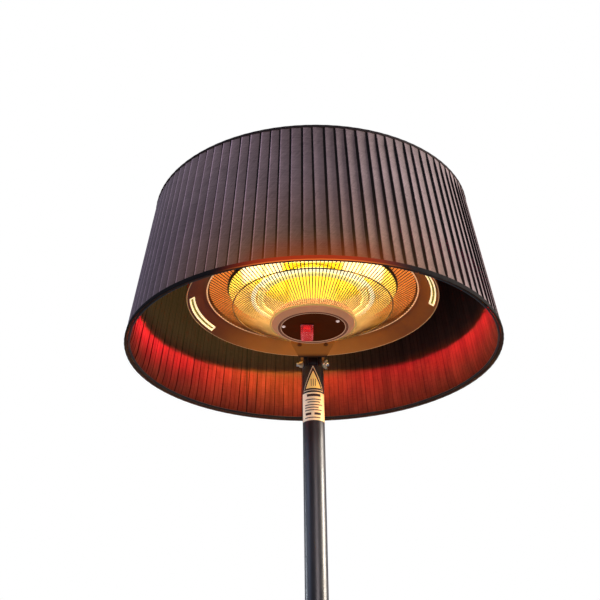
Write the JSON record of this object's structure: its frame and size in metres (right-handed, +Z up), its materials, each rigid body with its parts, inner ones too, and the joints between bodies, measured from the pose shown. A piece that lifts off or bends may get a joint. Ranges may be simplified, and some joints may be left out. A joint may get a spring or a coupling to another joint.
{
  "type": "outdoor heater",
  "caption": "Free-standing electric patio heater: round weighted base, sectional pole, tilting lamp head with wire guard under a pleated drum shade.",
  "frame": {"origin": "centre of the base's underside, on the pole's axis", "axes": "+Z up along the pole, -Y towards the front (the side the head hangs on), +X to the right seen from the front"},
  "size_m": [0.6002, 0.6351, 2.1152],
  "materials": {
    "rubber": "matt black mat",
    "galvanised_steel": "dull zinc-plated sheet",
    "concrete": "rough cast grey",
    "black_paint": "satin black powder coat",
    "black_wire_frame": "satin black enamel",
    "black_plastic": "fine-textured black",
    "bare_steel": "zinc-plated",
    "chrome": "bright plated",
    "cable_rubber": "smooth black sheath",
    "bronze_paint": "warm brown satin enamel",
    "guard_wire": "golden brown enamelled wire",
    "dark_face": "satin dark brown",
    "red_rocker": "gloss red, lit from inside",
    "clear_boot": "clear soft splash cover",
    "polished_reflector": "polished gold-tinted aluminium",
    "lamp_glass": "gold-coated lamp tube, lit",
    "light_lens": "frosted light cover, lit",
    "circuit_board": "green board",
    "ceramic": "unglazed cream",
    "pleated_fabric": "knife-pleated charcoal cloth",
    "hem_fabric": "dark woven binding"
  },
  "bodies": {
    "stand": {"rubber_mat": "rubber", "bottom_plate": "galvanised_steel", "ballast": "concrete", "base_cover": "black_paint", "pole_socket": "black_paint", "base_bolt_1": "bare_steel", "base_bolt_2": "bare_steel", "base_bolt_3": "bare_steel", "base_collar": "black_plastic", "socket_screw": "black_plastic", "cable_gland": "black_plastic", "lower_pole": "black_paint", "middle_pole": "black_paint", "upper_pole": "black_paint", "lower_coupler": "galvanised_steel", "upper_coupler": "galvanised_steel", "lower_joint_screw": "bare_steel", "upper_joint_screw": "bare_steel", "mast_lead": "cable_rubber", "pole_head": "black_plastic", "pivot_bolt": "bare_steel"},
    "head": {"heat_shield": "galvanised_steel", "shade_bottom_ring": "black_wire_frame", "shade_top_ring": "black_wire_frame", "shade_spider": "black_wire_frame", "shade_stem": "black_wire_frame", "cap_nut": "black_wire_frame", "switch_body": "black_plastic", "light_driver": "black_plastic", "neck_screw_1": "bare_steel", "neck_screw_2": "bare_steel", "lamp_clip_left": "bare_steel", "lamp_clip_right": "bare_steel", "stem_nut": "bare_steel", "face_screw_1": "chrome", "face_screw_2": "chrome", "head_lead": "cable_rubber", "neck_bracket": "bronze_paint", "housing_cup": "bronze_paint", "hood": "bronze_paint", "guard": "guard_wire", "face_plate": "dark_face", "switch_boot": "clear_boot", "reflector": "polished_reflector", "centre_column": "polished_reflector", "lamp_inner": "lamp_glass", "lamp_outer": "lamp_glass", "light_lens_left": "light_lens", "light_lens_right": "light_lens", "light_board_left": "circuit_board", "light_board_right": "circuit_board", "lamp_holder": "ceramic", "terminal_block": "ceramic", "shade_fabric": "pleated_fabric", "shade_top_panel": "pleated_fabric", "hem_bottom": "hem_fabric", "hem_top": "hem_fabric"},
    "rocker": {"rocker": "red_rocker"},
    "wing_nut_left": {"wing_nut_left": "chrome"},
    "wing_nut_right": {"wing_nut_right": "chrome"}
  },
  "joints": [
    {"name": "head_tilt", "type": "hinge", "parent": "stand", "child": "head", "pos_m": [0, 0, 1.87], "axis": [-1, 0, 0], "range_deg": [0, 30]},
    {"name": "rocker_switch", "type": "hinge", "parent": "head", "child": "rocker", "pos_m": [-0.0102, -0.0815, 1.8995], "axis": [1, 0, 0], "range_deg": [-18, 0]},
    {"name": "wing_nut_left_turn", "type": "hinge", "parent": "stand", "child": "wing_nut_left", "pos_m": [0, 0, 1.87], "axis": [1, 0, 0], "continuous": true},
    {"name": "wing_nut_right_turn", "type": "hinge", "parent": "stand", "child": "wing_nut_right", "pos_m": [0, 0, 1.87], "axis": [1, 0, 0], "continuous": true}
  ]
}
